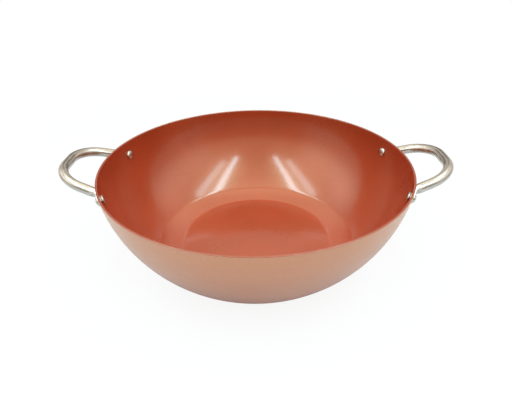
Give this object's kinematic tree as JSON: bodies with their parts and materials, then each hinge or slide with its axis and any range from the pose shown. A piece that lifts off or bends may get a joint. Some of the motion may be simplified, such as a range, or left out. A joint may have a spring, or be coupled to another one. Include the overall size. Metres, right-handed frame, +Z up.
{
  "type": "stir-fry pan",
  "caption": "Deep round stir-fry pan with a flat base, a curved flaring wall and bent-rod loop handles riveted on opposite sides.",
  "frame": {"origin": "middle of the flat underside", "axes": "+X towards the right handle, through both handles; +Y away from the viewer of the picture; +Z up, out of the bowl"},
  "size_m": [0.402, 0.3212, 0.1079],
  "materials": {
    "pan": "copper-orange ceramic lining inside, pale satin copper lacquer outside",
    "handle": "polished stainless rod",
    "rivet": "polished domed heads"
  },
  "bodies": {
    "root": {"pan_body": "pan", "handle_right": "handle", "handle_left": "handle", "rivet_right_front": "rivet", "rivet_right_rear": "rivet", "rivet_left_front": "rivet", "rivet_left_rear": "rivet"}
  },
  "joints": []
}
